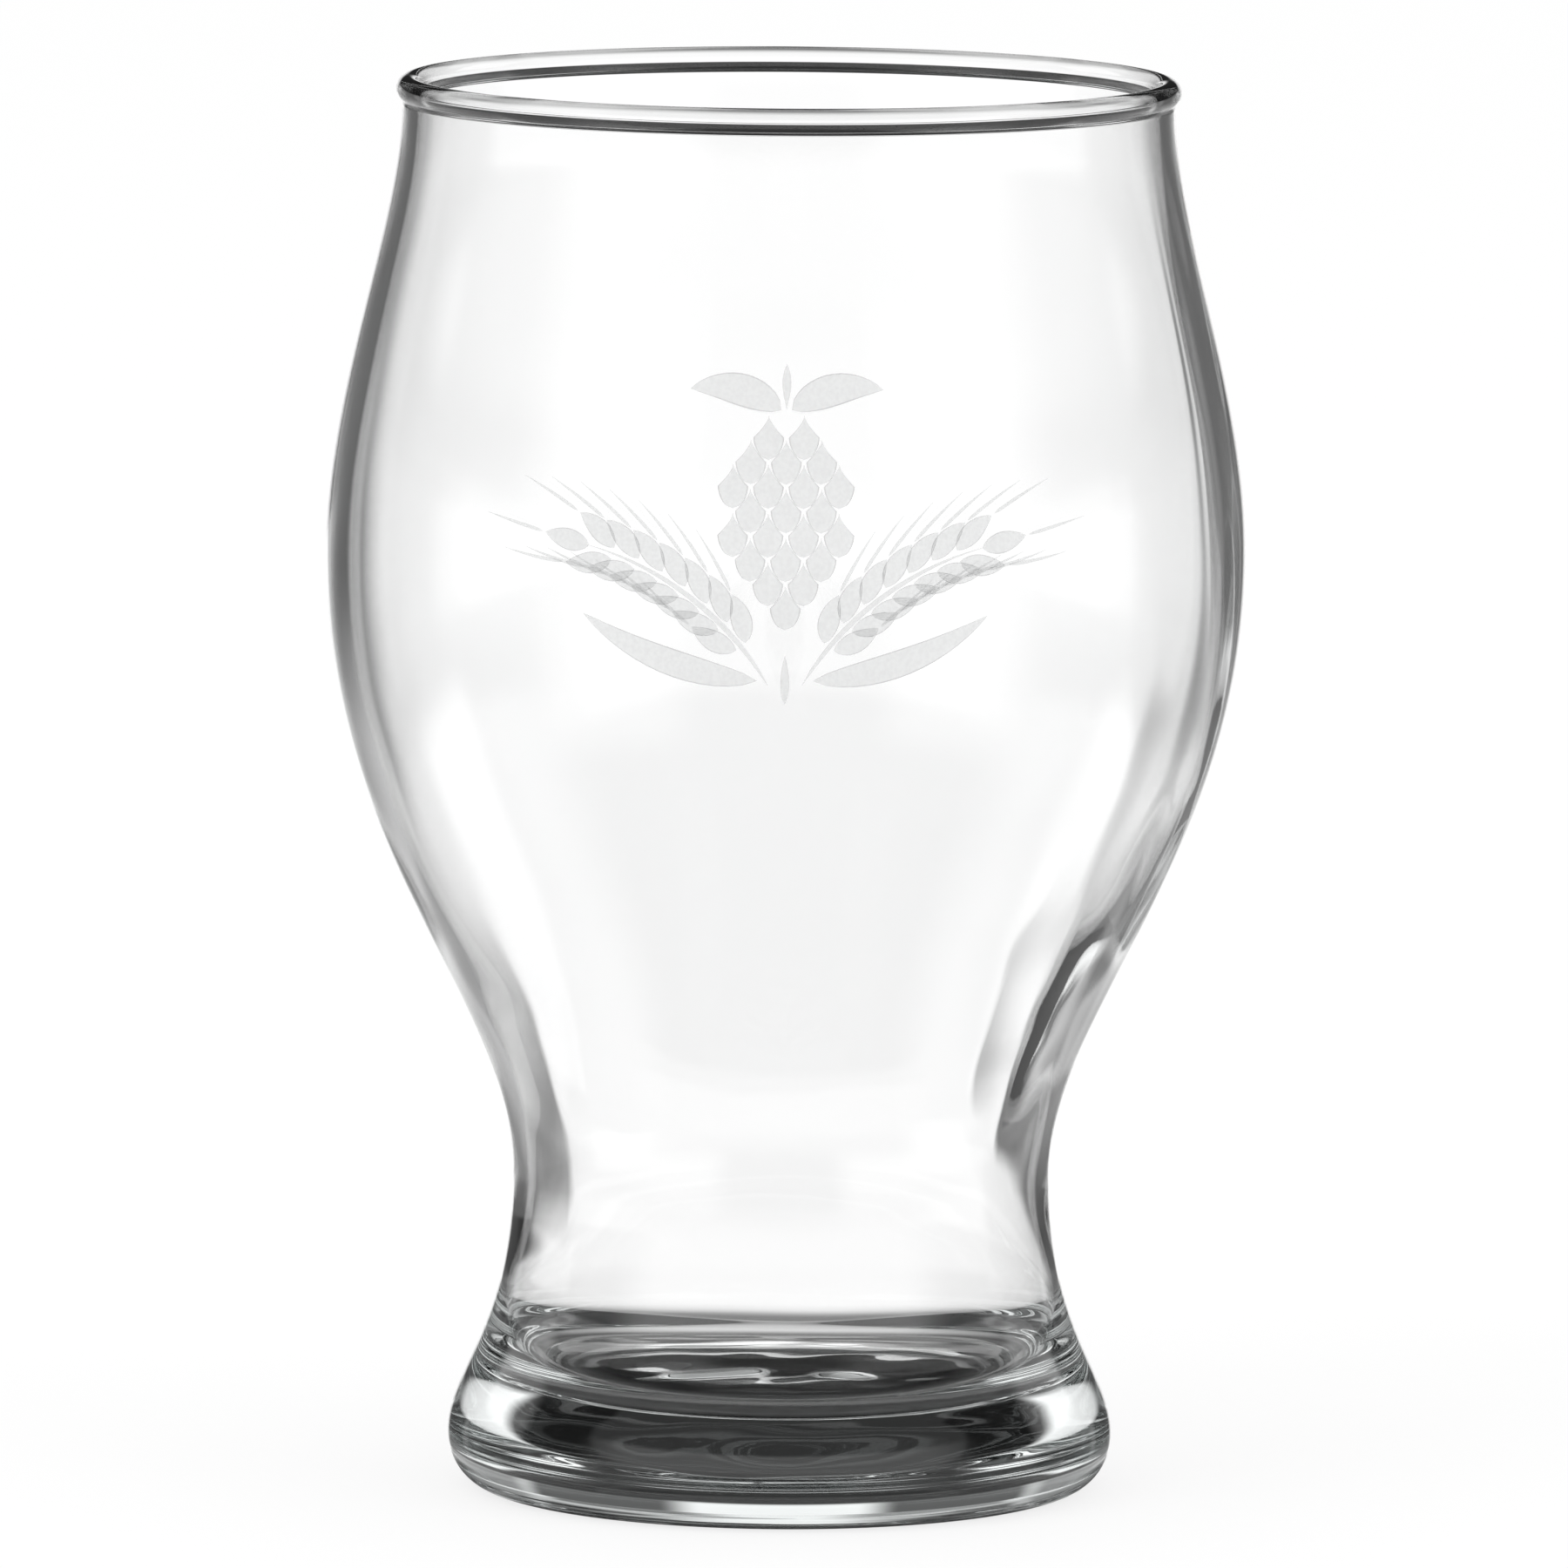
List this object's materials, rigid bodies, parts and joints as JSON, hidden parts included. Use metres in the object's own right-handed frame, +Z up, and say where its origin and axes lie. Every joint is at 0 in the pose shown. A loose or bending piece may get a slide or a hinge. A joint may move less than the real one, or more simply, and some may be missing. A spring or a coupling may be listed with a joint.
{
  "type": "pilsner glass",
  "caption": "Clear footed beer glass with a heavy solid base, a drawn-in waist, a full rounded bowl and a beaded lip, for serving beer.",
  "frame": {"origin": "centre of the flat ring that the glass stands on", "axes": "+Z up along the glass's axis of revolution; -Y towards the etched front"},
  "size_m": [0.0874, 0.0874, 0.135],
  "materials": {
    "clear_glass": "clear, fire polished",
    "etched_frost": "frosted by etching"
  },
  "bodies": {
    "root": {"foot": "clear_glass", "lower_bowl": "clear_glass", "upper_bowl": "clear_glass", "lip": "clear_glass"}
  },
  "joints": []
}
